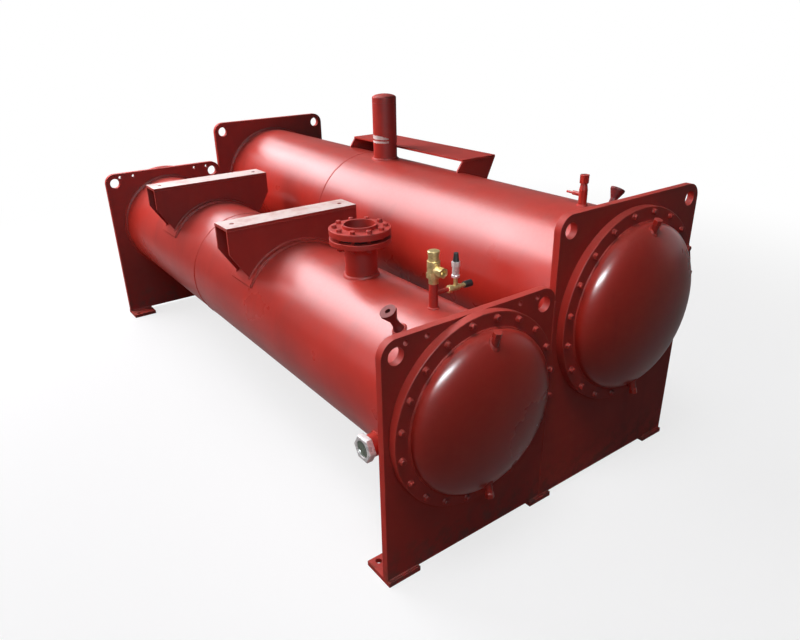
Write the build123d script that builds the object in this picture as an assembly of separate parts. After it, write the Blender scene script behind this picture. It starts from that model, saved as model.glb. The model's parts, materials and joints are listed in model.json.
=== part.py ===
"""Twin-shell condenser and evaporator set of a water-cooled chiller, in millimetres.

+X runs along the shells towards the return heads, +Y from the condenser to the evaporator, +Z up.
The origin lies on the floor, in the middle of the four anchor holes.
"""
import os
from math import cos, radians, sin, sqrt, tan

from build123d import *

# Shells and the end plates that join them
SHELL_LENGTH = 3084.0
COND_OD = 610.0
EVAP_OD = 711.0
SHELL_WALL = 10.0
COND_AXIS_Z = 603.0
EVAP_AXIS_Z = 786.0
PLATE_T = 30.0
COND_PLATE_W = 776.0
COND_PLATE_TOP = 970.0
EVAP_PLATE_W = 847.0
EVAP_PLATE_TOP = 1221.0
PLATE_CORNER_R = 62.0
LIFT_HOLE_R = 31.0
LIFT_HOLE_INSET = 57.0
LIFT_HOLE_DROP = 60.0
LUG_HOLE_R = 10.0
LUG_HOLE_DROP = 25.0
LUG_HOLE_OUTER = 95.0
LUG_HOLE_INNER = 180.0

# Feet under the end plates
FOOT_T = 20.0
FOOT_W = 140.0
MIDDLE_FOOT_W = 120.0
FOOT_DEPTH = 140.0
FOOT_OVERHANG = 10.0
ANCHOR_HOLE_R = 12.0
ANCHOR_EDGE = 33.0
ANCHOR_BACK = 105.0

# Dished water heads, bolted to the end plates by a ring flange over a gasket
HEAD_GASKET_T = 4.0
HEAD_GASKET_SHY = 6.0
HEAD_FLANGE_T = 34.0
HEAD_FLANGE_CHAMFER = 2.0
HEAD_WALL = 10.0
HEAD_SKIRT = 15.0
COND_FLANGE_R = 370.0
COND_DISH_R = 312.0
COND_DISH_DEPTH = 105.0
EVAP_FLANGE_R = 405.0
EVAP_DISH_R = 346.0
EVAP_DISH_DEPTH = 125.0
VENT_R = 14.0
VENT_REACH = 52.0
VENT_RISE = 28.0
VENT_LEAN = 15.0
VENT_PLUG_R = 17.0
VENT_PLUG_H = 20.0

# Water connections on the rear heads
WATER_PIPE_R = 84.0
WATER_PIPE_WALL = 6.0
WATER_OFFSET = 150.0
WATER_REACH = 235.0
WATER_FLANGE_R = 142.5
WATER_FLANGE_T = 24.0
WATER_PCD_R = 120.0
WATER_HOLE_R = 11.0
WATER_HOLES = 8
WATER_HOLE_TURN_SHARE = 0.5

# Saddles that carry the compressor over the condenser
SADDLE_X = 256.0
SADDLE_PITCH = 996.0
SADDLE_TOP_Z = 1030.0
SADDLE_W = 675.0
SADDLE_DEPTH = 140.0
SADDLE_TOP_T = 14.0
SADDLE_WEB_T = 12.0
FRONT_SADDLE_EDGE = 108.0
REAR_SADDLE_EDGE = 104.0
SADDLE_TIP_ANGLE = 55.0
PAD_T = 10.0
PAD_MARGIN = 32.0
PAD_ANGLE = 61.0
SADDLE_HOLE_R = 11.0
SADDLE_HOLE_SPAN = 568.0

# Discharge gas nozzle on the condenser, a flange pair with a socket on top
NOZZLE_X = 879.0
NOZZLE_PIPE_R = 66.5
NOZZLE_BORE_R = 60.5
COMPANION_BORE_R = 63.0
NOZZLE_FLANGE_R = 125.0
NOZZLE_FLANGE_Z = 1041.0
NOZZLE_FLANGE_T = 22.0
NOZZLE_FLANGE_CHAMFER = 1.5
NOZZLE_GASKET_R = 96.0
NOZZLE_GASKET_T = 14.0
COMPANION_T = 26.0
SOCKET_R = 71.0
SOCKET_H = 14.0

# Relief valve and service valve on the condenser
RELIEF_SETBACK = 196.0
RELIEF_X = SHELL_LENGTH / 2 - RELIEF_SETBACK
STUB_R = 16.7
RELIEF_STUB_TOP = 1003.0
RELIEF_NECK_R = 17.5
RELIEF_NECK_H = 22.0
RELIEF_BODY_R = 23.5
RELIEF_BODY_H = 62.0
RELIEF_HEX_R = 26.0
RELIEF_HEX_H = 18.0
RELIEF_CAP_R = 20.0
RELIEF_CAP_H = 37.0
RELIEF_RIM_R = 22.0
RELIEF_RIM_H = 14.0
RELIEF_RIM_CHAMFER = 2.0
RELIEF_OUTLET_R = 17.0
RELIEF_OUTLET_BORE = 11.0
RELIEF_OUTLET_Z = 1055.0
RELIEF_OUTLET_REACH = 55.0
RELIEF_OUTLET_DEPTH = 20.0
OUTLET_HEX_R = 20.0
OUTLET_HEX_L = 18.0
BRANCH_R = 8.0
BRANCH_Z = 962.0
BRANCH_REACH = 67.0
SERVICE_BODY_R = 11.5
SERVICE_BODY_L = 52.0
SERVICE_HEX_R = 14.5
SERVICE_HEX_L = 16.0
SERVICE_STEM_R = 8.0
SERVICE_STEM_AT = 36.0
SERVICE_STEM_TOP = 1002.0
SERVICE_PORT_R = 8.0
SERVICE_PORT_L = 26.0
BONNET_R = 13.0
BONNET_H = 40.0
COLLAR_R = 15.5
COLLAR_H = 9.0
BONNET_NUT_R = 16.0
BONNET_NUT_H = 20.0
STEM_CAP_R = 12.0
STEM_CAP_TOP_R = 8.5
STEM_CAP_H = 32.0
PORT_CAP_R = 13.0
PORT_CAP_L = 33.0

# Slanted sockets and the stub on the evaporator
PORT_ANGLE = 30.0
PORT_NECK_R = 14.5
PORT_NECK_L = 88.0
PORT_BASE_R = 23.0
PORT_BASE_L = 26.0
PORT_FLARE_L = 38.0
PORT_DISC_R = 31.0
PORT_DISC_T = 8.0
PORT_BORE_R = 10.0
PORT_BORE_DEPTH = 34.0
COND_PORT_SETBACK = 196.0
EVAP_PORT_SETBACK = 220.0
EVAP_STUB_SETBACK = 224.0
COND_PORT_X = SHELL_LENGTH / 2 - COND_PORT_SETBACK
EVAP_PORT_X = SHELL_LENGTH / 2 - EVAP_PORT_SETBACK
EVAP_STUB_X = SHELL_LENGTH / 2 - EVAP_STUB_SETBACK
EVAP_STUB_R = 17.5
EVAP_STUB_H = 66.0
EVAP_NECK_R = 13.0
EVAP_NECK_H = 27.0
EVAP_STUB_HEX_R = 20.0
EVAP_STUB_HEX_H = 34.0
SIDE_PORT_Z = 1186.0
SIDE_PORT_R = 9.0
SIDE_PORT_L = 34.0
SIDE_ROD_R = 5.0
SIDE_ROD_L = 32.0

# Sight glass low on the condenser
SIGHT_SETBACK = 151.0
SIGHT_X = SHELL_LENGTH / 2 - SIGHT_SETBACK
SIGHT_Z = 477.0
SIGHT_FACE_OUT = 358.0
SIGHT_STUB_R = 42.0
SIGHT_RING_R = 53.0
SIGHT_RING_T = 26.0
SIGHT_RING_CHAMFER = 3.0
SIGHT_GLASS_R = 33.0
SIGHT_GLASS_T = 14.0
SIGHT_GLASS_SET = 5.0

# Capped suction stub on the evaporator
SUCTION_X = -88.0
SUCTION_R = 66.5
SUCTION_WALL = 5.0
SUCTION_TOP_Z = 1488.0
SUCTION_CAP_SKIRT = 26.0
SUCTION_CAP_DOME = 20.0

# Panel bracket on the outer side of the evaporator
BRACKET_X = -19.0
BRACKET_L = 1016.0
BRACKET_W = 226.0
BRACKET_TOP_Z = 1200.0
BRACKET_OUT = 74.0
BRACKET_T = 10.0
BRACKET_FRONT_SLANT = 36.0
BRACKET_BACK_SLANT = 25.0


def cyl_x(radius, x0, x1, y, z):
    """Cylinder along X between two stations."""
    return Pos((x0 + x1) / 2, y, z) * Rot(0, 90, 0) * Cylinder(radius, x1 - x0)


def cyl_y(radius, y0, y1, x, z):
    """Cylinder along Y between two stations."""
    return Pos(x, (y0 + y1) / 2, z) * Rot(90, 0, 0) * Cylinder(radius, y1 - y0)


def cyl_z(radius, z0, z1, x, y):
    """Cylinder along Z between two heights."""
    return Pos(x, y, (z0 + z1) / 2) * Cylinder(radius, z1 - z0)


def block(x0, x1, y0, y1, z0, z1):
    """Box between six planes."""
    return Pos((x0 + x1) / 2, (y0 + y1) / 2, (z0 + z1) / 2) * Box(x1 - x0, y1 - y0, z1 - z0)


def across(points, x0, x1):
    """Profile drawn in Y and Z, extruded along X between two stations."""
    return Pos(x0, 0, 0) * extrude(Plane.YZ * make_face(Polyline(*points, close=True)), x1 - x0)


def hexagon_bar(radius, height):
    """Hexagon bar upwards from the origin, by the radius over its corners."""
    return extrude(RegularPolygon(radius, 6), height)


def rear(shape):
    """The same piece at the other end of the set."""
    return mirror(shape, about=Plane.YZ)


def put(name, *shapes):
    """Write one piece, or a few like pieces that don't touch, as one node."""
    node = shapes[0] if len(shapes) == 1 else Compound(children=[s.solid() for s in shapes])
    node.label = name
    export_step(node, f"parts/{name}.step")


os.makedirs("parts", exist_ok=True)

cond_r = COND_OD / 2
evap_r = EVAP_OD / 2
shell_end = SHELL_LENGTH / 2
plate_face = shell_end + PLATE_T
left_y = -(COND_PLATE_W + EVAP_PLATE_W) / 2
seam_y = left_y + COND_PLATE_W
right_y = seam_y + EVAP_PLATE_W
cond_y = left_y + COND_PLATE_W / 2
evap_y = seam_y + EVAP_PLATE_W / 2
cond_top = COND_AXIS_Z + cond_r
evap_top = EVAP_AXIS_Z + evap_r

cond_solid = cyl_x(cond_r, -shell_end, shell_end, cond_y, COND_AXIS_Z)
evap_solid = cyl_x(evap_r, -shell_end, shell_end, evap_y, EVAP_AXIS_Z)

# Shells, opened under the nozzle and the suction stub
suction_bore = SUCTION_R - SUCTION_WALL
cond_shell = cond_solid - cyl_x(cond_r - SHELL_WALL, -shell_end, shell_end, cond_y, COND_AXIS_Z)
cond_shell -= cyl_z(NOZZLE_BORE_R, COND_AXIS_Z, cond_top + SHELL_WALL, NOZZLE_X, cond_y)
put("condenser_shell", cond_shell)
evap_shell = evap_solid - cyl_x(evap_r - SHELL_WALL, -shell_end, shell_end, evap_y, EVAP_AXIS_Z)
evap_shell -= cyl_z(suction_bore, EVAP_AXIS_Z, evap_top + SHELL_WALL, SUCTION_X, evap_y)
put("evaporator_shell", evap_shell)


def end_plate(y0, y1, top, lug_insets):
    """End plate with rounded upper corners, two lifting holes and small holes under its top edge."""
    plate = block(shell_end, plate_face, y0, y1, FOOT_T, top)
    corners = plate.edges().filter_by(Axis.X).group_by(Axis.Z)[-1]
    plate = fillet(corners, PLATE_CORNER_R)
    for y in (y0 + LIFT_HOLE_INSET, y1 - LIFT_HOLE_INSET):
        plate -= cyl_x(LIFT_HOLE_R, shell_end, plate_face, y, top - LIFT_HOLE_DROP)
    for inset in lug_insets:
        for y in (y0 + inset, y1 - inset):
            plate -= cyl_x(LUG_HOLE_R, shell_end, plate_face, y, top - LUG_HOLE_DROP)
    return plate


cond_plate = end_plate(left_y, seam_y, COND_PLATE_TOP, (LUG_HOLE_OUTER, LUG_HOLE_INNER))
evap_plate = end_plate(seam_y, right_y, EVAP_PLATE_TOP, ())
put("condenser_front_plate", cond_plate)
put("condenser_rear_plate", rear(cond_plate))
put("evaporator_front_plate", evap_plate)
put("evaporator_rear_plate", rear(evap_plate))


# Feet: the outer pair is drilled for anchors, the middle one lies under the seam
def foot(y0, y1):
    """Flat foot under an end plate."""
    return block(plate_face + FOOT_OVERHANG - FOOT_DEPTH, plate_face + FOOT_OVERHANG, y0, y1, 0, FOOT_T)


anchor_x = plate_face - ANCHOR_BACK
left_foot = foot(left_y, left_y + FOOT_W)
left_foot -= cyl_z(ANCHOR_HOLE_R, 0, FOOT_T, anchor_x, left_y + ANCHOR_EDGE)
right_foot = foot(right_y - FOOT_W, right_y)
right_foot -= cyl_z(ANCHOR_HOLE_R, 0, FOOT_T, anchor_x, right_y - ANCHOR_EDGE)
middle_foot = foot(seam_y - MIDDLE_FOOT_W / 2, seam_y + MIDDLE_FOOT_W / 2)
put("front_feet", left_foot, middle_foot, right_foot)
put("rear_feet", rear(left_foot), rear(middle_foot), rear(right_foot))


# Water heads
def dished_end(radius, skirt, depth):
    """Solid dished end along +X: short straight skirt, then an ellipse to the crown."""
    bowl = Pos(skirt, 0) * Ellipse(depth - skirt, radius)
    bowl &= Pos(skirt + depth / 2, radius / 2) * Rectangle(depth, radius)
    return revolve(bowl + Pos(skirt / 2, radius / 2) * Rectangle(skirt, radius), Axis.X)


flange_back = plate_face + HEAD_GASKET_T
flange_face = flange_back + HEAD_FLANGE_T


def head(y, z, flange_r, dish_r, depth):
    """Gasket, ring flange, dish, vent and drain of one water head."""
    bore = dish_r - HEAD_WALL
    seat = Pos(flange_face, y, z)
    gasket = cyl_x(flange_r - HEAD_GASKET_SHY, plate_face, flange_back, y, z)
    gasket -= cyl_x(bore, plate_face, flange_back, y, z)
    ring = cyl_x(flange_r, flange_back, flange_face, y, z)
    ring = chamfer(ring.edges().group_by(Axis.X)[-1], HEAD_FLANGE_CHAMFER)
    ring -= cyl_x(bore, flange_back, flange_face, y, z)
    full = seat * dished_end(dish_r, HEAD_SKIRT, depth)
    dish = full - seat * dished_end(bore, HEAD_SKIRT, depth - HEAD_WALL)
    bowl = (VENT_REACH - HEAD_SKIRT) / (depth - HEAD_SKIRT)
    surface = dish_r * sqrt(1 - bowl * bowl)
    boss = cyl_z(VENT_R, -2 * VENT_R, VENT_RISE, 0, 0)
    boss += Pos(0, 0, VENT_RISE) * hexagon_bar(VENT_PLUG_R, VENT_PLUG_H)
    vent = Pos(flange_face + VENT_REACH, y, z + surface) * Rot(0, VENT_LEAN, 0) * boss - full
    drain = Pos(0, 0, z) * mirror(Pos(0, 0, -z) * vent, about=Plane.XY)
    return gasket, ring, dish, [vent, drain]


cond_gasket, cond_ring, cond_dish, cond_tips = head(
    cond_y, COND_AXIS_Z, COND_FLANGE_R, COND_DISH_R, COND_DISH_DEPTH)
evap_gasket, evap_ring, evap_dish, evap_tips = head(
    evap_y, EVAP_AXIS_Z, EVAP_FLANGE_R, EVAP_DISH_R, EVAP_DISH_DEPTH)
put("front_head_gaskets", cond_gasket, evap_gasket)
put("rear_head_gaskets", rear(cond_gasket), rear(evap_gasket))
put("condenser_front_head_flange", cond_ring)
put("condenser_rear_head_flange", rear(cond_ring))
put("evaporator_front_head_flange", evap_ring)
put("evaporator_rear_head_flange", rear(evap_ring))
put("condenser_front_dish", cond_dish)
put("evaporator_front_dish", evap_dish)
put("front_head_vents", *cond_tips, *evap_tips)
put("rear_head_vents", *[rear(t) for t in cond_tips + evap_tips])


def water_nozzles(y, z, dish, dish_r, depth):
    """Inlet and outlet on a rear dish: drilled dish and the two flanged pipes."""
    face = flange_face + WATER_REACH
    full = Pos(flange_face, y, z) * dished_end(dish_r, HEAD_SKIRT, depth)
    pipes = []
    for way in (1, -1):
        at = z + way * WATER_OFFSET
        inner = WATER_PIPE_R - WATER_PIPE_WALL
        nozzle = cyl_x(WATER_PIPE_R, flange_face, face, y, at) - full
        nozzle += cyl_x(WATER_FLANGE_R, face - WATER_FLANGE_T, face, y, at)
        nozzle -= cyl_x(inner, flange_face, face, y, at)
        for i in range(WATER_HOLES):
            turn = radians((i + WATER_HOLE_TURN_SHARE) * 360 / WATER_HOLES)
            hole_y, hole_z = y + WATER_PCD_R * sin(turn), at + WATER_PCD_R * cos(turn)
            nozzle -= cyl_x(WATER_HOLE_R, face - WATER_FLANGE_T, face, hole_y, hole_z)
        dish -= cyl_x(inner, flange_face, face, y, at)
        pipes.append(rear(nozzle))
    return rear(dish), pipes


cond_rear_dish, cond_water = water_nozzles(cond_y, COND_AXIS_Z, cond_dish, COND_DISH_R, COND_DISH_DEPTH)
evap_rear_dish, evap_water = water_nozzles(evap_y, EVAP_AXIS_Z, evap_dish, EVAP_DISH_R, EVAP_DISH_DEPTH)
put("condenser_rear_dish", cond_rear_dish)
put("evaporator_rear_dish", evap_rear_dish)
put("condenser_water_nozzles", *cond_water)
put("evaporator_water_nozzles", *evap_water)

# Saddles: curved pad on the shell, two webs cut to it, drilled top plate
pad_r = cond_r + PAD_T
tip_y = pad_r * sin(radians(SADDLE_TIP_ANGLE))
tip_z = COND_AXIS_Z + pad_r * cos(radians(SADDLE_TIP_ANGLE))
web_top = SADDLE_TOP_Z - SADDLE_TOP_T


def saddle(label, x, edge):
    """One saddle at a station along the condenser."""
    x0, x1 = x - SADDLE_DEPTH / 2, x + SADDLE_DEPTH / 2
    pad_solid = cyl_x(pad_r, x0 - PAD_MARGIN, x1 + PAD_MARGIN, cond_y, COND_AXIS_Z)
    side = pad_r * tan(radians(PAD_ANGLE))
    wedge = across([(cond_y, COND_AXIS_Z), (cond_y + side, COND_AXIS_Z + pad_r),
                    (cond_y - side, COND_AXIS_Z + pad_r)], x0 - PAD_MARGIN, x1 + PAD_MARGIN)
    put(f"{label}_saddle_pad", (pad_solid & wedge) - cond_solid)
    half = SADDLE_W / 2
    outline = [(cond_y - half, web_top), (cond_y + half, web_top), (cond_y + half, web_top - edge),
               (cond_y + tip_y, tip_z), (cond_y - tip_y, tip_z), (cond_y - half, web_top - edge)]
    put(f"{label}_saddle_webs",
        across(outline, x1 - SADDLE_WEB_T, x1) - pad_solid, across(outline, x0, x0 + SADDLE_WEB_T) - pad_solid)
    top = block(x0, x1, cond_y - half, cond_y + half, web_top, SADDLE_TOP_Z)
    for y in (cond_y - SADDLE_HOLE_SPAN / 2, cond_y + SADDLE_HOLE_SPAN / 2):
        top -= cyl_z(SADDLE_HOLE_R, web_top, SADDLE_TOP_Z, x, y)
    put(f"{label}_saddle_top", top)


saddle("front", SADDLE_X, FRONT_SADDLE_EDGE)
saddle("rear", SADDLE_X - SADDLE_PITCH, REAR_SADDLE_EDGE)

# Discharge nozzle
joint_z = NOZZLE_FLANGE_Z + NOZZLE_FLANGE_T
companion_z = joint_z + NOZZLE_GASKET_T
companion_top = companion_z + COMPANION_T
socket_top = companion_top + SOCKET_H


def nozzle_bore(z0, z1):
    """Clear way through the nozzle between two heights."""
    return cyl_z(NOZZLE_BORE_R, z0, z1, NOZZLE_X, cond_y)


pipe = cyl_z(NOZZLE_PIPE_R, COND_AXIS_Z, NOZZLE_FLANGE_Z, NOZZLE_X, cond_y) - cond_solid
put("discharge_pipe", pipe - nozzle_bore(COND_AXIS_Z, NOZZLE_FLANGE_Z))
lower = cyl_z(NOZZLE_FLANGE_R, NOZZLE_FLANGE_Z, joint_z, NOZZLE_X, cond_y)
lower = chamfer(lower.edges().filter_by(GeomType.CIRCLE), NOZZLE_FLANGE_CHAMFER)
put("discharge_flange", lower - nozzle_bore(NOZZLE_FLANGE_Z, joint_z))
seal = cyl_z(NOZZLE_GASKET_R, joint_z, companion_z, NOZZLE_X, cond_y)
put("discharge_gasket", seal - nozzle_bore(joint_z, companion_z))
companion = cyl_z(NOZZLE_FLANGE_R, companion_z, companion_top, NOZZLE_X, cond_y)
companion = chamfer(companion.edges().filter_by(GeomType.CIRCLE), NOZZLE_FLANGE_CHAMFER)
companion += cyl_z(SOCKET_R, companion_top, socket_top, NOZZLE_X, cond_y)
put("companion_flange", companion - cyl_z(COMPANION_BORE_R, companion_z, socket_top, NOZZLE_X, cond_y))

# Relief stub with its branch, relief valve and service valve
branch_end = cond_y + BRANCH_REACH
stub = cyl_z(STUB_R, COND_AXIS_Z, RELIEF_STUB_TOP, RELIEF_X, cond_y) - cond_solid
put("relief_stub", stub + cyl_y(BRANCH_R, cond_y, branch_end, RELIEF_X, BRANCH_Z))
body_z = RELIEF_STUB_TOP + RELIEF_NECK_H
cap_z = body_z + RELIEF_BODY_H
relief = cyl_z(RELIEF_NECK_R, RELIEF_STUB_TOP, body_z, RELIEF_X, cond_y)
relief += cyl_z(RELIEF_BODY_R, body_z, cap_z, RELIEF_X, cond_y)
relief += Pos(RELIEF_X, cond_y, body_z) * hexagon_bar(RELIEF_HEX_R, RELIEF_HEX_H)
relief_top = cap_z + RELIEF_CAP_H
relief += cyl_z(RELIEF_CAP_R, cap_z, relief_top, RELIEF_X, cond_y)
rim = cyl_z(RELIEF_RIM_R, relief_top - RELIEF_RIM_H, relief_top, RELIEF_X, cond_y)
relief += chamfer(rim.edges().filter_by(GeomType.CIRCLE), RELIEF_RIM_CHAMFER)
outlet_x = RELIEF_X + RELIEF_OUTLET_REACH
relief += cyl_x(RELIEF_OUTLET_R, RELIEF_X, outlet_x, cond_y, RELIEF_OUTLET_Z)
outlet_nut = Rot(0, 90, 0) * hexagon_bar(OUTLET_HEX_R, OUTLET_HEX_L)
relief += Pos(outlet_x - OUTLET_HEX_L, cond_y, RELIEF_OUTLET_Z) * outlet_nut
relief -= cyl_x(RELIEF_OUTLET_BORE, outlet_x - RELIEF_OUTLET_DEPTH, outlet_x, cond_y, RELIEF_OUTLET_Z)
put("relief_valve", relief)
body_end = branch_end + SERVICE_BODY_L
port_end = body_end + SERVICE_PORT_L
stem_y = branch_end + SERVICE_STEM_AT
service = cyl_y(SERVICE_BODY_R, branch_end, body_end, RELIEF_X, BRANCH_Z)
service += Pos(RELIEF_X, branch_end, BRANCH_Z) * Rot(-90, 0, 0) * hexagon_bar(SERVICE_HEX_R, SERVICE_HEX_L)
service += cyl_y(SERVICE_PORT_R, body_end, port_end, RELIEF_X, BRANCH_Z)
service += cyl_z(SERVICE_STEM_R, BRANCH_Z, SERVICE_STEM_TOP, RELIEF_X, stem_y)
put("service_valve_body", service)
nut_z = SERVICE_STEM_TOP + BONNET_H
stem_cap_z = nut_z + BONNET_NUT_H
bonnet = cyl_z(BONNET_R, SERVICE_STEM_TOP, nut_z, RELIEF_X, stem_y)
bonnet += cyl_z(COLLAR_R, SERVICE_STEM_TOP, SERVICE_STEM_TOP + COLLAR_H, RELIEF_X, stem_y)
bonnet += Pos(RELIEF_X, stem_y, nut_z) * hexagon_bar(BONNET_NUT_R, BONNET_NUT_H)
put("service_valve_bonnet", bonnet)
stem_cap = Pos(RELIEF_X, stem_y, stem_cap_z + STEM_CAP_H / 2) * Cone(STEM_CAP_R, STEM_CAP_TOP_R, STEM_CAP_H)
put("service_valve_caps", stem_cap, cyl_y(PORT_CAP_R, port_end, port_end + PORT_CAP_L, RELIEF_X, BRANCH_Z))


# Slanted sockets: a waisted neck that flares to a drilled disc
def slanted_socket(shell, x, y, z, radius, angle):
    """Socket square to the shell's surface, leaning from the vertical."""
    neck_top = radius + PORT_NECK_L
    disc_top = neck_top + PORT_DISC_T
    neck = cyl_z(PORT_NECK_R, radius - SHELL_WALL, disc_top, 0, 0)
    base_from = radius - SHELL_WALL / 2
    base_h = PORT_BASE_L + SHELL_WALL / 2
    neck += Pos(0, 0, base_from + base_h / 2) * Cone(PORT_BASE_R, PORT_NECK_R, base_h)
    neck += Pos(0, 0, neck_top - PORT_FLARE_L / 2) * Cone(PORT_NECK_R, PORT_DISC_R, PORT_FLARE_L)
    neck += cyl_z(PORT_DISC_R, neck_top, disc_top, 0, 0)
    neck -= cyl_z(PORT_BORE_R, disc_top - PORT_BORE_DEPTH, disc_top, 0, 0)
    return Pos(x, y, z) * Rot(angle, 0, 0) * neck - shell


put("condenser_socket", slanted_socket(cond_solid, COND_PORT_X, cond_y, COND_AXIS_Z, cond_r, PORT_ANGLE))
put("evaporator_socket", slanted_socket(evap_solid, EVAP_PORT_X, evap_y, EVAP_AXIS_Z, evap_r, -PORT_ANGLE))

# Evaporator stub with a hexagon head and a small side port
neck_z = evap_top + EVAP_STUB_H
hex_z = neck_z + EVAP_NECK_H
evap_stub = cyl_z(EVAP_STUB_R, EVAP_AXIS_Z, neck_z, EVAP_STUB_X, evap_y) - evap_solid
evap_stub += Pos(EVAP_STUB_X, evap_y, (neck_z + hex_z) / 2) * Cone(EVAP_STUB_R, EVAP_NECK_R, EVAP_NECK_H)
evap_stub += Pos(EVAP_STUB_X, evap_y, hex_z) * hexagon_bar(EVAP_STUB_HEX_R, EVAP_STUB_HEX_H)
side_end = EVAP_STUB_X - EVAP_STUB_R - SIDE_PORT_L
evap_stub += cyl_x(SIDE_PORT_R, side_end, EVAP_STUB_X, evap_y, SIDE_PORT_Z)
evap_stub += cyl_x(SIDE_ROD_R, side_end - SIDE_ROD_L, side_end, evap_y, SIDE_PORT_Z)
put("evaporator_stub", evap_stub)

# Sight glass
sight_face = cond_y - SIGHT_FACE_OUT
ring_back = sight_face + SIGHT_RING_T
put("sight_glass_stub", cyl_y(SIGHT_STUB_R, ring_back, cond_y, SIGHT_X, SIGHT_Z) - cond_solid)
glass_y = sight_face + SIGHT_GLASS_SET
hexagon = hexagon_bar(SIGHT_RING_R, SIGHT_RING_T)
hexagon = chamfer(hexagon.edges().group_by(Axis.Z)[-1], SIGHT_RING_CHAMFER)
ring = Pos(SIGHT_X, ring_back, SIGHT_Z) * Rot(90, 0, 0) * hexagon
put("sight_glass_ring", ring - cyl_y(SIGHT_GLASS_R, sight_face, glass_y + SIGHT_GLASS_T, SIGHT_X, SIGHT_Z))
put("sight_glass_lens", cyl_y(SIGHT_GLASS_R, glass_y, glass_y + SIGHT_GLASS_T, SIGHT_X, SIGHT_Z))

# Suction stub: open pipe under a domed cap
skirt_z = SUCTION_TOP_Z - SUCTION_CAP_DOME - SUCTION_CAP_SKIRT
suction = cyl_z(SUCTION_R, EVAP_AXIS_Z, skirt_z, SUCTION_X, evap_y) - evap_solid
put("suction_pipe", suction - cyl_z(suction_bore, EVAP_AXIS_Z, skirt_z, SUCTION_X, evap_y))
cap_depth = SUCTION_CAP_SKIRT + SUCTION_CAP_DOME
cap = dished_end(SUCTION_R, SUCTION_CAP_SKIRT, cap_depth)
cap -= dished_end(suction_bore, SUCTION_CAP_SKIRT, cap_depth - SUCTION_WALL)
put("suction_cap", Pos(SUCTION_X, evap_y, skirt_z) * Rot(0, -90, 0) * cap)

# Panel bracket: top plate on two slanted ends cut to the shell
bracket_in = evap_y + BRACKET_OUT
bracket_back = bracket_in + BRACKET_W
under = BRACKET_TOP_Z - BRACKET_T
bracket_far, bracket_near = BRACKET_X - BRACKET_L / 2, BRACKET_X + BRACKET_L / 2
put("bracket_top", block(bracket_far, bracket_near, bracket_in, bracket_back, under, BRACKET_TOP_Z))
drop = under - EVAP_AXIS_Z
ends = [(bracket_in, under), (bracket_back, under),
        (bracket_back - drop * tan(radians(BRACKET_BACK_SLANT)), EVAP_AXIS_Z),
        (bracket_in - drop * tan(radians(BRACKET_FRONT_SLANT)), EVAP_AXIS_Z)]
put("bracket_ends", across(ends, bracket_near - BRACKET_T, bracket_near) - evap_solid,
    across(ends, bracket_far, bracket_far + BRACKET_T) - evap_solid)
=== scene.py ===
"""Looks of a twin-shell condenser and evaporator set: paint, bolts, weld beads and stage."""
import json
import math

import bmesh
import bpy
from mathutils import Matrix, Vector


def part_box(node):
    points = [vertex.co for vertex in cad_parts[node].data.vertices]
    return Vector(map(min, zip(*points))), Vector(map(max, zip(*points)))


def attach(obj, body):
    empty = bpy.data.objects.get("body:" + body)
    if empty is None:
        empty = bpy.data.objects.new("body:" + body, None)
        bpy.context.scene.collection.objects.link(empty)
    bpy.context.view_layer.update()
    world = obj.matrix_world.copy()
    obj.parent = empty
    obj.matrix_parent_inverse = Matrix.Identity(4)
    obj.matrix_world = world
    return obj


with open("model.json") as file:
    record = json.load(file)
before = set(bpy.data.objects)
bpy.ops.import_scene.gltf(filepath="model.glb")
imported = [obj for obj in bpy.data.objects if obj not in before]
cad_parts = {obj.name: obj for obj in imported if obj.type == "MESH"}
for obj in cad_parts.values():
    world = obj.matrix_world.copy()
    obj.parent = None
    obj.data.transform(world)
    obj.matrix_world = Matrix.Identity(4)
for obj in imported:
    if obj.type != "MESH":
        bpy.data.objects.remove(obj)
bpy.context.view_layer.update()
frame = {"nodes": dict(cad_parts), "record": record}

bl_info = {
    "name": "Condenser set finish",
    "version": (1, 0, 0),
    "blender": (4, 5, 0),
    "location": "3D View > Sidebar > Condenser",
    "description": "Paint, bolts, weld beads and stage of a twin-shell condenser set",
    "category": "Object",
}

ENDS = ("front", "rear")
SHELLS = ("condenser", "evaporator")
TO_X = Matrix.Rotation(math.pi / 2, 4, "Y")
SMOOTH_ANGLE = math.radians(40)
SAME_PLACE = 1e-5
ALONG_Z = 0.9

# Sizes of the solids that their boxes don't give, in metres
FOOT_WIDTH = 0.140
MIDDLE_FOOT_WIDTH = 0.120
SEAM_STOP = 0.066
DISH_SKIRT = 0.015
VENT_RADIUS = 0.014
VENT_REACH = 0.052
VENT_LEAN = math.radians(15)
STUB_RADIUS = 0.0175
STUB_HEXAGON = 0.020
SOCKET_RADIUS = 0.023
SOCKET_LEAN = {"condenser": math.radians(30), "evaporator": math.radians(-30)}
BRACKET_PLATE = 0.010

# Proportions of a bolt, as shares of its width, its height or its washer's depth
CROWN_INSET = 0.09
CROWN_RISE = 0.16
BOLT_ROUND = 0.07
WASHER_INSET = 0.5
WASHER_RISE = 0.25
SHANK_RADIUS = 0.31
NUT_HEIGHT = 1.2
BOLT_EDGE = math.radians(28)
HEXAGON_REPEAT = math.radians(60)

# Shape of the beads: length of a step in metres, then shares of the leg
BEAD_STEP = 0.004
BEAD_SIDES = 8
DISH_LEG = 0.75
DISH_RIPPLE = 2
BRANCH_LEG = 1.6
PAD_LEG_LIFT = 0.2
PAD_EDGE_LIFT = 0.002
PAD_ARC = 0.92
TOP_PLATE_LEG = 0.55
PLATE_SEAM_LEG = 0.5
BRACKET_LEG = 0.8

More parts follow.
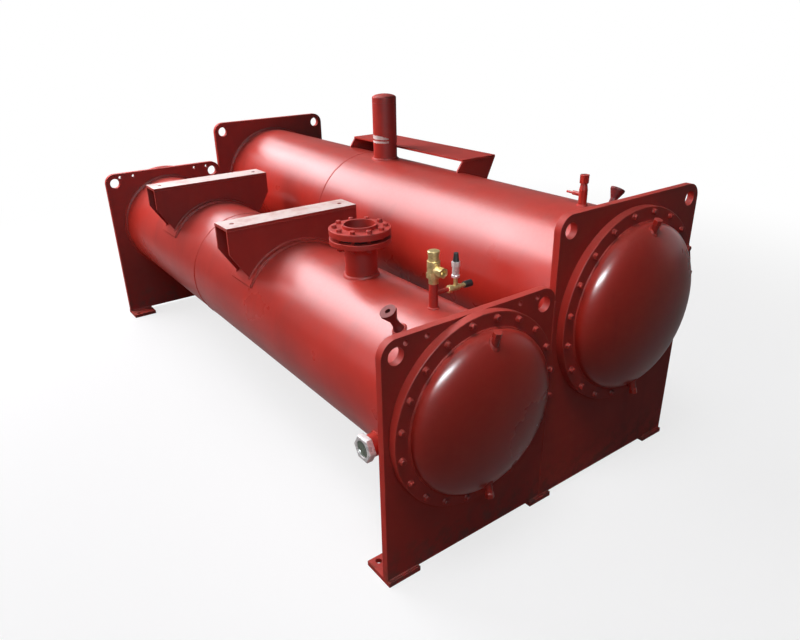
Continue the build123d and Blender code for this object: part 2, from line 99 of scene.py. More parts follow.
# Ends of the names of nodes whose paint is brushed on, duller than on the shells and dishes
BRUSHED = ("front_plate", "rear_plate", "_webs", "_feet", "_flange", "bracket_top", "bracket_ends",
           "discharge_pipe", "relief_stub", "suction_cap")
DULLED = 0.25
PAINT_GLOSS = 0.25
PEEL = {"depth": 0.0006, "strength": 0.05, "radius": 0.0025}
EDGE_ROUND = 0.004

# Pale patch on the suction stub: each stripe's lower edge, and its depth at the thin and thick end
STRIPES = ((1.249, 0.007, 0.022), (1.230, 0.009, 0.011))
PATCH_REACH = (0.018, 0.066)
PATCH_FADE = (0.017, 0.022)
PATCH_BLUR = 0.001
PATCH_RAGGED = 0.004


def tone(red, green, blue):
    """Linear colour from the three values of a screen colour, 0 to 255."""
    return tuple((v / 255 / 12.92) if v <= 10 else ((v / 255 + 0.055) / 1.055) ** 2.4
                 for v in (red, green, blue))


def length(label, note, value):
    """A size in metres that a user may change."""
    return bpy.props.FloatProperty(name=label, description=note, default=value, unit="LENGTH",
                                   precision=4)


def colour(label, note, value):
    """A colour that a user may change."""
    return bpy.props.FloatVectorProperty(name=label, description=note, default=value, size=3,
                                         subtype="COLOR", min=0.0, max=1.0)


def share(label, note, value):
    """A share between none and all."""
    return bpy.props.FloatProperty(name=label, description=note, default=value, min=0.0, max=1.0,
                                   subtype="FACTOR")


def count(label, note, value):
    """A number of like pieces."""
    return bpy.props.IntProperty(name=label, description=note, default=value, min=3)


def angle(label, note, degrees):
    """An angle that a user may change."""
    return bpy.props.FloatProperty(name=label, description=note, default=math.radians(degrees),
                                   subtype="ANGLE")


class PaintSettings(bpy.types.PropertyGroup):
    """Colours and wear of the finishes."""
    coat: colour("Coat", "Red oxide paint in full coat", tone(186, 46, 34))
    thin: colour("Thin coat", "Paint drawn thin over an edge", tone(190, 76, 60))
    deep: colour("Deep coat", "Paint where it ran thick or is stained", tone(130, 29, 22))
    stain: colour("Stained coat", "Old dark paint on the slanted sockets", tone(108, 20, 20))
    dust: colour("Dust", "Dust that lies on upper faces", tone(205, 158, 146))
    grime: colour("Grime", "Splashed dirt close to the floor", tone(92, 58, 46))
    dusting: share("Dusting", "How much dust lies on upper faces", 0.10)
    gloss: share("Roughness", "Roughness of the clean paint", 0.28)
    pad: colour("Pad face", "Machined saddle face under a thin coat", tone(232, 208, 200))
    patch: colour("Patch", "Pale primer on the suction stub", tone(238, 230, 224))
    brass: colour("Brass", "Cast brass where it is bright", tone(200, 176, 122))
    brass_dull: colour("Dull brass", "Cast brass where it is tarnished", tone(124, 98, 52))
    steel: colour("Steel", "Plated steel where it is bright", tone(226, 222, 220))
    steel_dull: colour("Dull steel", "Plated steel where it is handled", tone(178, 170, 166))
    cap: colour("Cap", "Black plastic of the valve caps", tone(14, 13, 17))
    cap_dust: colour("Cap dust", "Dusty grain of the valve caps", tone(34, 31, 34))
    gasket: colour("Gasket", "Dark sheet gasket", tone(44, 24, 22))
    fibre: colour("Fibre", "Fibres at the edge of a gasket", tone(84, 52, 46))
    glass: colour("Glass", "Greenish sight glass", tone(120, 134, 112))
    glass_deep: colour("Deep glass", "Sight glass where it is darker", tone(74, 84, 70))


class BoltSettings(bpy.types.PropertyGroup):
    """Sizes of the bolts on the heads and the gas nozzle."""
    head_count: count("Head bolts", "Bolts around each water head", 20)
    head_inset: length("Head bolt inset", "From the rim of a head flange to its bolt circle", 0.021)
    head_width: length("Head bolt width", "Across the flats of a head bolt", 0.021)
    head_height: length("Head bolt height", "Height of the hexagon of a head bolt", 0.011)
    head_washer: share("Head washer", "Radius of a washer as a share of the bolt's width", 0.64)
    head_washer_depth: length("Head washer depth", "Depth of a head washer", 0.003)
    head_twist: angle("Head twist", "Turn from one head bolt's hexagon to the next one's", 37)
    nozzle_count: count("Nozzle bolts", "Bolts around the gas nozzle", 10)
    nozzle_turn: angle("Nozzle turn", "Turn of the first nozzle bolt from +X", 23)
    nozzle_inset: length("Nozzle bolt inset", "From the nozzle's rim to its bolt circle", 0.022)
    nozzle_width: length("Nozzle bolt width", "Across the flats of a nozzle bolt", 0.020)
    nozzle_height: length("Nozzle bolt height", "Height of the hexagon of a nozzle bolt", 0.010)
    nozzle_washer: share("Nozzle washer", "Radius of a washer as a share of the bolt's width", 0.60)
    nozzle_washer_depth: length("Nozzle washer depth", "Depth of a nozzle washer", 0.0015)
    nozzle_twist: angle("Nozzle twist", "Turn from one nozzle bolt's hexagon to the next one's", 23)
    nozzle_rise: share("Nozzle rise", "Seat of the heads as a share of the upper flange", 0.65)


class WeldSettings(bpy.types.PropertyGroup):
    """Sizes and places of the weld beads."""
    fillet: length("Fillet leg", "Leg of the fillet between a shell and an end plate", 0.015)
    small: length("Small leg", "Leg of the fillets of pads, webs, stubs and feet", 0.006)
    seam: length("Seam rise", "Rise of a girth seam over the shell", 0.0025)
    seam_width: length("Seam width", "Half width of a girth seam", 0.008)
    lump: length("Lump size", "Length of one ripple of a bead", 0.009)
    lump_rise: share("Lump rise", "How far the ripples stand out, as a share of the leg", 0.22)
    condenser_seam: length("Condenser seam", "Place of the condenser's girth seam", -0.308)
    evaporator_seam: length("Evaporator seam", "Place of the evaporator's girth seam", -0.288)


class StageSettings(bpy.types.PropertyGroup):
    """Camera and light."""
    camera_at: bpy.props.FloatVectorProperty(name="Camera", description="Place of the camera",
                                             default=(3.0433, -1.8056, 1.8488),
                                             subtype="TRANSLATION")
    camera_turn: angle("Turn", "Turn of the camera about the vertical", 54.004)
    camera_drop: angle("Drop", "How far the camera looks down", 24.285)
    camera_roll: angle("Roll", "Roll of the camera about its own axis", -1.058)
    lens: bpy.props.FloatProperty(name="Lens", description="Focal length, in millimetres",
                                  default=29.82, min=1.0)
    sensor: bpy.props.FloatProperty(name="Sensor", description="Sensor width, in millimetres",
                                    default=36.0, min=1.0)
    floor: colour("Floor", "Plain pale floor", (0.86, 0.86, 0.86))
    floor_size: length("Floor size", "Side of the square floor", 60)
    near_white: share("Near white", "How white the floor is close to the set", 0.76)
    near: length("Near", "Distance up to which the floor shows the most shadow", 2.0)
    far: length("Far", "Distance from which the floor is all white", 5.5)
    bounce: colour("Bounce", "Floor as it lights the undersides", (0.105, 0.092, 0.08))
    pale_light: colour("Pale light", "Light of the main lamps", (0.97, 0.95, 1.0))
    cool_light: colour("Cool light", "Light of the lamps that make highlights", (0.84, 0.95, 1.0))
    ambient: share("Ambient", "Even light from all round", 0.02)
    mirrored: share("Mirrored", "Strength of the white background as the set mirrors it", 0.24)


def settings(name):
    """One of the groups of values kept on the scene."""
    return getattr(bpy.context.scene, "condenser_" + name)


# Places taken from the solids

def shell_of(shell):
    """Y and Z of a shell's axis, and its radius."""
    low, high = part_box(shell + "_shell")
    return (low.y + high.y) / 2, (low.z + high.z) / 2, (high.z - low.z) / 2


def middle(node):
    """Middle of a node's box."""
    low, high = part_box(node)
    return (low + high) / 2


# Modelling helpers

def clear_selection():
    """Back to object mode with nothing selected."""
    if bpy.context.mode != "OBJECT":
        bpy.ops.object.mode_set(mode="OBJECT")
    bpy.ops.object.select_all(action="DESELECT")


def apply_place():
    """Put the active object's place into its mesh."""
    bpy.ops.object.transform_apply(location=True, rotation=True, scale=True)
    return bpy.context.object


def choose_faces(piece, wanted):
    """Select in edit mode the faces that a test on middle and normal picks out."""
    bpy.ops.mesh.select_mode(type="FACE")
    bpy.ops.mesh.select_all(action="DESELECT")
    shape = bmesh.from_edit_mesh(piece.data)
    for face in shape.faces:
        face.select_set(wanted(face.calc_center_median(), face.normal))
    bmesh.update_edit_mesh(piece.data)


def pick(piece):
    """Select one object and make it the active one."""
    clear_selection()
    piece.select_set(True)
    bpy.context.view_layer.objects.active = piece


def edit_all():
    """Edit mode on the active object, with all of it selected."""
    bpy.ops.object.mode_set(mode="EDIT")
    bpy.ops.mesh.select_all(action="SELECT")


def use_modifier(piece, kind, **values):
    """Add a modifier and apply it."""
    pick(piece)
    added = piece.modifiers.new(kind.lower(), kind)
    for key, value in values.items():
        setattr(added, key, value)
    bpy.ops.object.modifier_apply(modifier=added.name)


def join(pieces):
    """One object out of several."""
    clear_selection()
    for piece in pieces:
        piece.select_set(True)
    bpy.context.view_layer.objects.active = pieces[0]
    if len(pieces) > 1:
        bpy.ops.object.join()
    return pieces[0]


def repeat(master, places):
    """Copies of a modelled piece, each with its own mesh, joined into one object."""
    made = []
    for place in places:
        twin = master.copy()
        twin.data = master.data.copy()
        bpy.context.scene.collection.objects.link(twin)
        twin.data.transform(place)
        made.append(twin)
    bpy.data.objects.remove(master)
    return join(made)


def finish(piece, name, look="brushed_red_paint"):
    """Name a new piece, smooth it, give it its finish and let it ride on the set."""
    pick(piece)
    apply_place()
    bpy.ops.object.shade_smooth_by_angle(angle=SMOOTH_ANGLE)
    piece.name = name
    piece.data.name = name
    piece.data.materials.clear()
    piece.data.materials.append(bpy.data.materials[look])
    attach(piece, "root")


# Material helpers

def plug(tree, socket, value):
    """Link a socket, or set its value."""
    if isinstance(value, bpy.types.NodeSocket):
        tree.links.new(value, socket)
    elif socket.type == "RGBA" and len(value) == 3:
        socket.default_value = (*value, 1.0)
    else:
        socket.default_value = value


def add(tree, kind, out=0, shape=None, **sockets):
    """Add a node, set it up, and give back one of its outputs."""
    made = tree.nodes.new(kind)
    for key, value in (shape or {}).items():
        setattr(made, key, value)
    for key, value in sockets.items():
        plug(tree, made.inputs[key.replace("_", " ")], value)
    return made.outputs[out]


def math_of(tree, operation, first, second=0.0):
    """Sum, product or other operation on two values."""
    made = tree.nodes.new("ShaderNodeMath")
    made.operation = operation
    plug(tree, made.inputs[0], first)
    plug(tree, made.inputs[1], second)
    return made.outputs[0]


def ramp(tree, value, low, high, to_low=0.0, to_high=1.0, steps="SMOOTHSTEP"):
    """Map a value smoothly from one range onto another."""
    return add(tree, "ShaderNodeMapRange", shape={"interpolation_type": steps}, Value=value,
               From_Min=low, From_Max=high, To_Min=to_low, To_Max=to_high)


def blend(tree, amount, first, second):
    """Mix two colours."""
    made = tree.nodes.new("ShaderNodeMix")
    made.data_type = "RGBA"
    plug(tree, made.inputs[0], amount)
    plug(tree, made.inputs[6], first)
    plug(tree, made.inputs[7], second)
    return made.outputs[2]


def noise(tree, place, scale, detail, rough):
    """Cloudy pattern over a place."""
    return add(tree, "ShaderNodeTexNoise", Vector=place, Scale=scale, Detail=detail,
               Roughness=rough)


def new_group(name, inputs, outputs):
    """Empty node group with named sockets."""
    tree = bpy.data.node_groups.new(name, "ShaderNodeTree")
    for label, kind in inputs:
        tree.interface.new_socket(label, in_out="INPUT", socket_type="NodeSocket" + kind)
    for label, kind in outputs:
        tree.interface.new_socket(label, in_out="OUTPUT", socket_type="NodeSocket" + kind)
    return tree, tree.nodes.new("NodeGroupInput").outputs, tree.nodes.new("NodeGroupOutput").inputs


def paint_group():
    """Sprayed coat: clouding, stains, thin edges, dust on top, grime near the floor, fine peel."""
    tree, given, put = new_group(
        "sprayed_coat",
        [("Coat", "Color"), ("Thin", "Color"), ("Deep", "Color"), ("Dust", "Color"),
         ("Grime", "Color"), ("Dusting", "Float"), ("Smoothness", "Float")],
        [("Color", "Color"), ("Roughness", "Float"), ("Height", "Float"), ("Edge", "Float")])
    edge_wear, splash_share, splash_top = 0.75, 0.55, 0.24
    dust_dulls, splash_dulls, speck_rise = 0.5, 0.25, 0.4
    place = add(tree, "ShaderNodeTexCoord", out="Object")
    cloud = noise(tree, place, scale=2.3, detail=4.0, rough=0.6)
    mottle = noise(tree, place, scale=17.0, detail=5.0, rough=0.65)
    stretched = add(tree, "ShaderNodeMapping", Vector=place, Scale=(9.0, 9.0, 0.9))
    streak = noise(tree, stretched, scale=1.0, detail=4.0, rough=0.6)
    peel = noise(tree, place, scale=320.0, detail=2.0, rough=0.5)
    specks = noise(tree, place, scale=75.0, detail=3.0, rough=0.7)

    facing = add(tree, "ShaderNodeNewGeometry", out="Normal")
    rounded = add(tree, "ShaderNodeBevel", shape={"samples": 4}, Radius=EDGE_ROUND)
    agree = add(tree, "ShaderNodeVectorMath", out="Value", shape={"operation": "DOT_PRODUCT"})
    tree.links.new(facing, agree.node.inputs[0])
    tree.links.new(rounded, agree.node.inputs[1])
    edge = ramp(tree, agree, 0.985, 0.86)
    edge = math_of(tree, "MULTIPLY", edge, ramp(tree, mottle, 0.35, 0.62, to_low=0.25))

    now = blend(tree, ramp(tree, cloud, 0.35, 0.68, to_high=0.28), given["Coat"], given["Deep"])
    now = blend(tree, ramp(tree, mottle, 0.45, 0.8, to_high=0.12), now, given["Thin"])
    now = blend(tree, ramp(tree, streak, 0.48, 0.78, to_high=0.24), now, given["Deep"])
    now = blend(tree, math_of(tree, "MULTIPLY", edge, edge_wear), now, given["Thin"])

    up = add(tree, "ShaderNodeSeparateXYZ", out="Z", Vector=facing)
    lying = math_of(tree, "MULTIPLY", ramp(tree, up, 0.25, 0.95),
                    ramp(tree, cloud, 0.3, 0.7, to_low=0.35))
    lying = math_of(tree, "MULTIPLY", lying, ramp(tree, specks, 0.3, 0.6, to_low=0.55))
    lying = math_of(tree, "MULTIPLY", lying, given["Dusting"])
    now = blend(tree, lying, now, given["Dust"])

    height = add(tree, "ShaderNodeSeparateXYZ", out="Z", Vector=place)
    splash = math_of(tree, "MULTIPLY", ramp(tree, height, splash_top, 0.0),
                     ramp(tree, mottle, 0.42, 0.66))
    now = blend(tree, math_of(tree, "MULTIPLY", splash, splash_share), now, given["Grime"])

    rough = math_of(tree, "ADD", given["Smoothness"], ramp(tree, cloud, 0.2, 0.8, -0.02, 0.04))
    rough = math_of(tree, "ADD", rough, math_of(tree, "MULTIPLY", lying, dust_dulls))
    rough = math_of(tree, "ADD", rough, math_of(tree, "MULTIPLY", splash, splash_dulls))
    plug(tree, put["Color"], now)
    plug(tree, put["Roughness"], rough)
    plug(tree, put["Height"],
         math_of(tree, "ADD", peel, math_of(tree, "MULTIPLY", specks, speck_rise)))
    plug(tree, put["Edge"], edge)
    return tree


def metal_group():
    """Handled metal: dull clouding, dark in specks, fine scratches."""
    tree, given, put = new_group(
        "handled_metal", [("Bright", "Color"), ("Dull", "Color"), ("Smoothness", "Float")],
        [("Color", "Color"), ("Roughness", "Float"), ("Height", "Float")])
    speck_rise = 0.6
    place = add(tree, "ShaderNodeTexCoord", out="Object")
    cloud = noise(tree, place, scale=38.0, detail=4.0, rough=0.6)
    specks = noise(tree, place, scale=240.0, detail=3.0, rough=0.7)
    stretched = add(tree, "ShaderNodeMapping", Vector=place, Scale=(160.0, 160.0, 900.0))
    scratch = noise(tree, stretched, scale=1.0, detail=2.0, rough=0.5)
    now = blend(tree, ramp(tree, cloud, 0.35, 0.7, to_high=0.75), given["Bright"], given["Dull"])
    now = blend(tree, ramp(tree, specks, 0.6, 0.8, to_high=0.6), now, given["Dull"])
    plug(tree, put["Color"], now)
    rough = math_of(tree, "ADD", given["Smoothness"], ramp(tree, cloud, 0.3, 0.7, -0.06, 0.14))
    plug(tree, put["Roughness"], rough)
    plug(tree, put["Height"],
         math_of(tree, "ADD", scratch, math_of(tree, "MULTIPLY", specks, speck_rise)))
    return tree


def bare_tree(owner):
    """Empty node tree of a material or a world."""
    owner.use_nodes = True
    owner.node_tree.nodes.clear()
    return owner.node_tree


def new_material(name):
    """Empty material with its shader."""
    made = bpy.data.materials.new(name)
    tree = bare_tree(made)
    shader = tree.nodes.new("ShaderNodeBsdfPrincipled")
    output = tree.nodes.new("ShaderNodeOutputMaterial")
    tree.links.new(shader.outputs[0], output.inputs["Surface"])
    return made, tree, shader.inputs


def use_group(tree, group, **sockets):
    """Place a node group with its own values."""
    return add(tree, "ShaderNodeGroup", shape={"node_tree": group}, **sockets).node.outputs


def bump(tree, sockets, height, depth, strength, radius):
    """Relief over softly rounded edges, into the shader's normal."""
    soft = add(tree, "ShaderNodeBevel", shape={"samples": 4}, Radius=radius)
    plug(tree, sockets["Normal"], add(tree, "ShaderNodeBump", Strength=strength, Distance=depth,
                                      Height=height, Normal=soft))


def coat_on(tree, group, base="coat"):
    """The sprayed coat with the values of this set, over its main colour or another one."""
    paint = settings("paint")
    return use_group(tree, group, Coat=getattr(paint, base), Thin=paint.thin,
                     Deep=paint.deep, Dust=paint.dust, Grime=paint.grime,
                     Dusting=paint.dusting, Smoothness=paint.gloss)


def gloss_of_paint(sockets, dulled=0.0):
    """Constant gloss value of the red paint, lower where it is brushed on."""
    sockets["Specular IOR Level"].default_value = PAINT_GLOSS - dulled / 2


def red_paint(group, name, dulled=0.0, base="coat"):
    """Satin red oxide paint, or a duller or darker coat of it."""
    made, tree, sockets = new_material(name)
    coat = coat_on(tree, group, base)
    plug(tree, sockets["Base Color"], coat["Color"])
    plug(tree, sockets["Roughness"], math_of(tree, "ADD", coat["Roughness"], dulled))
    gloss_of_paint(sockets, dulled)
    bump(tree, sockets, coat["Height"], **PEEL)
    return made


def pad_paint(group):
    """Red paint on the sides, a pale machined face on top."""
    made, tree, sockets = new_material("saddle_pad_face")
    side_rough, top_rough = 0.38, 0.55
    coat = coat_on(tree, group)
    place = add(tree, "ShaderNodeTexCoord", out="Object")
    facing = add(tree, "ShaderNodeNewGeometry", out="True Normal")
    top = ramp(tree, add(tree, "ShaderNodeSeparateXYZ", out="Z", Vector=facing), 0.5, 0.9)
    cloud = noise(tree, place, scale=9.0, detail=5.0, rough=0.65)
    worn = ramp(tree, cloud, 0.42, 0.68, to_high=0.4)
    stretched = add(tree, "ShaderNodeMapping", Vector=place, Scale=(420.0, 30.0, 1.0))
    marks = noise(tree, stretched, scale=1.0, detail=2.0, rough=0.5)
    pale = blend(tree, worn, settings("paint").pad, settings("paint").thin)
    top_kept = math_of(tree, "MULTIPLY", top, ramp(tree, coat["Edge"], 0.1, 0.9, 1.0, 0.45))
    plug(tree, sockets["Base Color"], blend(tree, top_kept, coat["Color"], pale))
    plug(tree, sockets["Roughness"], ramp(tree, top, 0.0, 1.0, side_rough, top_rough, "LINEAR"))
    gloss_of_paint(sockets)
    bump(tree, sockets, marks, depth=0.0004, strength=0.15, radius=0.002)
    return made


def patched_paint(group):
    """Red paint of the suction stub, with a pale primed patch of ragged stripes on one side."""
    made, tree, sockets = new_material("patched_red_paint")
    patch_share = 0.92
    coat = coat_on(tree, group)
    low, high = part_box("suction_pipe")
    place = add(tree, "ShaderNodeTexCoord", out="Object")
    centred = add(tree, "ShaderNodeMapping", Vector=place,
                  Location=(-(low.x + high.x) / 2, -(low.y + high.y) / 2, 0.0))
    spot = tree.nodes.new("ShaderNodeSeparateXYZ")
    plug(tree, spot.inputs[0], centred)
    ragged = ramp(tree, noise(tree, place, scale=60.0, detail=4.0, rough=0.65), 0.2, 0.8,
                  -PATCH_RAGGED, PATCH_RAGGED, "LINEAR")
    at_z = math_of(tree, "ADD", spot.outputs["Z"], ragged)
    side = math_of(tree, "MULTIPLY", spot.outputs["Y"], -1.0)
    taper = ramp(tree, side, *PATCH_REACH, steps="LINEAR")
    band = 0.0
    for low_z, thin, thick in STRIPES:
        high_z = ramp(tree, taper, 0.0, 1.0, low_z + thin, low_z + thick, "LINEAR")
        above = ramp(tree, math_of(tree, "SUBTRACT", at_z, low_z), -PATCH_BLUR, PATCH_BLUR)
        below = ramp(tree, math_of(tree, "SUBTRACT", high_z, at_z), -PATCH_BLUR, PATCH_BLUR)
        band = math_of(tree, "MAXIMUM", band, math_of(tree, "MULTIPLY", above, below))
    band = math_of(tree, "MULTIPLY", band, ramp(tree, side, *PATCH_FADE))
    plug(tree, sockets["Base Color"],
         blend(tree, math_of(tree, "MULTIPLY", band, patch_share), coat["Color"],
               settings("paint").patch))
    plug(tree, sockets["Roughness"], math_of(tree, "ADD", coat["Roughness"], DULLED))
    gloss_of_paint(sockets, DULLED)
    bump(tree, sockets, coat["Height"], **PEEL)
    return made


def metal(name, group, bright, dull, smooth, metallic):
    """Brass or steel with a handled surface."""
    made, tree, sockets = new_material(name)
    face = use_group(tree, group, Bright=bright, Dull=dull, Smoothness=smooth)
    plug(tree, sockets["Base Color"], face["Color"])
    plug(tree, sockets["Roughness"], face["Roughness"])
    sockets["Metallic"].default_value = metallic
    bump(tree, sockets, face["Height"], depth=0.0003, strength=0.2, radius=0.0012)
    return made


def grained(name, first, second, scale, detail, rough, tint, dull):
    """Material with a grain in its colour and roughness, and the grain itself."""
    made, tree, sockets = new_material(name)
    place = add(tree, "ShaderNodeTexCoord", out="Object")
    grain = noise(tree, place, scale, detail, rough)
    plug(tree, sockets["Base Color"], blend(tree, ramp(tree, grain, *tint), first, second))
    plug(tree, sockets["Roughness"], ramp(tree, grain, 0.3, 0.7, *dull))
    return made, tree, sockets, grain


def gasket_sheet(paint):
    """Dark pressed sheet with a fibrous edge."""
    made, tree, sockets, fibre = grained(
        "gasket_sheet", paint.gasket, paint.fibre, scale=260.0, detail=4.0, rough=0.7,
        tint=(0.35, 0.75), dull=(0.7, 0.9))
    bump(tree, sockets, fibre, depth=0.0005, strength=0.4, radius=0.001)
    return made


def cap_plastic(paint):
    """Black moulded plastic, a little dusty."""
    made, tree, sockets, grain = grained(
        "black_cap_plastic", paint.cap, paint.cap_dust, scale=300.0, detail=3.0, rough=0.6,
        tint=(0.5, 0.8, 0.0, 0.5), dull=(0.3, 0.45))
    bump(tree, sockets, grain, depth=0.0003, strength=0.25, radius=0.0012)
    return made


def sight_lens(paint):
    """Thick greenish glass."""
    made, _, sockets, _ = grained(
        "sight_glass_lens", paint.glass, paint.glass_deep, scale=24.0, detail=3.0, rough=0.6,
        tint=(0.35, 0.7), dull=(0.04, 0.12))
    sockets["Transmission Weight"].default_value = 0.35
    sockets["IOR"].default_value = 1.5
    return made


class CONDENSER_OT_finish_solids(bpy.types.Operator):
    """Give every solid of the set its paint, metal, gasket, plastic or glass"""
    bl_idname = "condenser.finish_solids"
    bl_label = "Finish the solids"

    def execute(self, context):
        paint = settings("paint")
        coat, handled = paint_group(), metal_group()
        finishes = {
            "red_paint": red_paint(coat, "red_oxide_paint"),
            "pad_face": pad_paint(coat),
            "gasket": gasket_sheet(paint),
            "brass": metal("dull_brass", handled, paint.brass, paint.brass_dull,
                           smooth=0.36, metallic=0.6),
            "steel": metal("plated_steel", handled, paint.steel, paint.steel_dull,
                           smooth=0.30, metallic=0.4),
            "black_cap": cap_plastic(paint),
            "sight_glass": sight_lens(paint),
        }
        patched = patched_paint(coat)
        brushed = red_paint(coat, "brushed_red_paint", DULLED)
        stained = red_paint(coat, "stained_red_paint", DULLED, "stain")
        for row in frame["record"]["subparts"]:
            node = row["node"]
            if node == "suction_pipe":
                look = patched
            elif node.endswith(BRUSHED):
                look = brushed
            elif node.endswith("_socket"):
                look = stained
            else:
                look = finishes[row["material_slot"]]
            solid = frame["nodes"][node]
            solid.data.materials.clear()
            solid.data.materials.append(look)
        return {"FINISHED"}


def model_bolt(width, height, washer_radius, washer_depth):
    """Hexagon bolt head with a chamfered crown on a washer, standing on the origin."""
    clear_selection()
    bpy.ops.mesh.primitive_cylinder_add(vertices=6, radius=width / math.sqrt(3), depth=height,
                                        location=(0, 0, washer_depth + height / 2))
    bolt = apply_place()
    bpy.ops.object.mode_set(mode="EDIT")
    choose_faces(bolt, lambda at, way: way.z > ALONG_Z)
    bpy.ops.mesh.inset(thickness=width * CROWN_INSET)
    bpy.ops.transform.translate(value=(0, 0, height * CROWN_RISE))
    bpy.ops.mesh.select_all(action="DESELECT")
    bpy.ops.mesh.primitive_cylinder_add(vertices=20, radius=washer_radius, depth=washer_depth,
                                        location=(0, 0, washer_depth / 2))
    choose_faces(bolt, lambda at, way: way.z > ALONG_Z and abs(at.z - washer_depth) < SAME_PLACE)
    bpy.ops.mesh.inset(thickness=washer_depth * WASHER_INSET)
    bpy.ops.transform.translate(value=(0, 0, washer_depth * WASHER_RISE))
    use_modifier(bolt, "BEVEL", width=width * BOLT_ROUND, segments=3, limit_method="ANGLE",
                 angle_limit=BOLT_EDGE)
    return bolt


class CONDENSER_OT_head_bolts(bpy.types.Operator):
    """Bolt the four water heads to their end plates"""
    bl_idname = "condenser.head_bolts"
    bl_label = "Head bolts"

    def execute(self, context):
        bolts = settings("bolts")
        for shell in SHELLS:
            for end in ENDS:
                flange = f"{shell}_{end}_head_flange"
                low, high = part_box(flange)
                circle = (high.z - low.z) / 2 - bolts.head_inset
                at = middle(flange)
                face, way = (high.x, 1) if end == "front" else (low.x, -1)
                outward = Matrix.Rotation(way * math.pi / 2, 4, "Y")
                places = []
                for i in range(bolts.head_count):
                    turn = (i + 0.5) * 2 * math.pi / bolts.head_count
                    spot = Matrix.Translation((face, at.y + circle * math.sin(turn),
                                               at.z + circle * math.cos(turn)))
                    twist = Matrix.Rotation(i * bolts.head_twist % HEXAGON_REPEAT, 4, "Z")
                    places.append(spot @ outward @ twist)
                bolt = model_bolt(bolts.head_width, bolts.head_height,
                                  bolts.head_width * bolts.head_washer, bolts.head_washer_depth)
                finish(repeat(bolt, places), f"{shell}_{end}_head_bolts")
        return {"FINISHED"}


class CONDENSER_OT_nozzle_bolts(bpy.types.Operator):
    """Bolt the two flanges of the gas nozzle, with heads above and nuts below"""
    bl_idname = "condenser.nozzle_bolts"
    bl_label = "Nozzle bolts"

    def execute(self, context):
        bolts = settings("bolts")
        low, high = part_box("discharge_flange")
        gap_low, gap_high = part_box("discharge_gasket")
        upper_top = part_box("companion_flange")[1].z
        top = gap_high.z + (upper_top - gap_high.z) * bolts.nozzle_rise
        at = middle("discharge_flange")
        circle = (high.x - low.x) / 2 - bolts.nozzle_inset
        width, height = bolts.nozzle_width, bolts.nozzle_height
        washer = (width * bolts.nozzle_washer, bolts.nozzle_washer_depth)
        bolt = model_bolt(width, height, *washer)
        clear_selection()
        bpy.ops.mesh.primitive_cylinder_add(
            vertices=16, radius=width * SHANK_RADIUS, depth=gap_high.z - gap_low.z,
            location=(0, 0, (gap_low.z + gap_high.z) / 2 - top))
        shank = apply_place()
        bpy.ops.object.mode_set(mode="EDIT")
        choose_faces(shank, lambda at, way: abs(way.z) > ALONG_Z)
        bpy.ops.mesh.delete(type="FACE")
        nut = model_bolt(width, height * NUT_HEIGHT, *washer)
        upside_down = Matrix.Rotation(math.pi, 4, "X")
        nut.data.transform(Matrix.Translation((0, 0, low.z - top)) @ upside_down)
        set_of_one = join([bolt, shank, nut])
        places = []
        for i in range(bolts.nozzle_count):
            turn = bolts.nozzle_turn + i * 2 * math.pi / bolts.nozzle_count
            spot = Matrix.Translation((at.x + circle * math.cos(turn),
                                       at.y + circle * math.sin(turn), top))
            twist = Matrix.Rotation(i * bolts.nozzle_twist % HEXAGON_REPEAT, 4, "Z")
            places.append(spot @ twist)
        finish(repeat(set_of_one, places), "nozzle_bolts")
        return {"FINISHED"}


def lump_texture():
    """Cloud pattern that ripples the weld beads."""
    made = bpy.data.textures.get("weld_ripple") or bpy.data.textures.new("weld_ripple", "CLOUDS")
    made.noise_scale = settings("welds").lump
    return made


def model_ring(radius, leg, flat=1.0):
    """Bead around the Z axis, fine enough to be rippled."""
    around = max(24, int(2 * math.pi * radius / BEAD_STEP))
    clear_selection()
    bpy.ops.mesh.primitive_torus_add(major_segments=around, minor_segments=BEAD_SIDES,
                                     major_radius=radius, minor_radius=leg)
    ring = bpy.context.object
    if flat != 1.0:
        edit_all()
        bpy.ops.transform.resize(value=(1, 1, flat))
        clear_selection()
    return ring


def model_line(start, end, leg):
    """Straight bead between two points, fine enough to be rippled."""
    start, end = Vector(start), Vector(end)
    run = end - start
    clear_selection()
    bpy.ops.mesh.primitive_cylinder_add(vertices=BEAD_SIDES, radius=leg, depth=run.length)
    line = bpy.context.object
    bpy.ops.object.mode_set(mode="EDIT")
    bpy.ops.mesh.select_mode(type="EDGE")
    bpy.ops.mesh.select_all(action="DESELECT")
    shape = bmesh.from_edit_mesh(line.data)
    for edge in shape.edges:
        edge.select_set(abs(edge.verts[0].co.z - edge.verts[1].co.z) > run.length / 2)
    bmesh.update_edit_mesh(line.data)
    bpy.ops.mesh.subdivide_edgering(number_cuts=max(2, int(run.length / BEAD_STEP)),
                                    interpolation="LINEAR", smoothness=0.0)
    clear_selection()
    turned = run.to_track_quat("Z", "Y").to_matrix().to_4x4()
    line.data.transform(Matrix.Translation((start + end) / 2) @ turned)
    return line


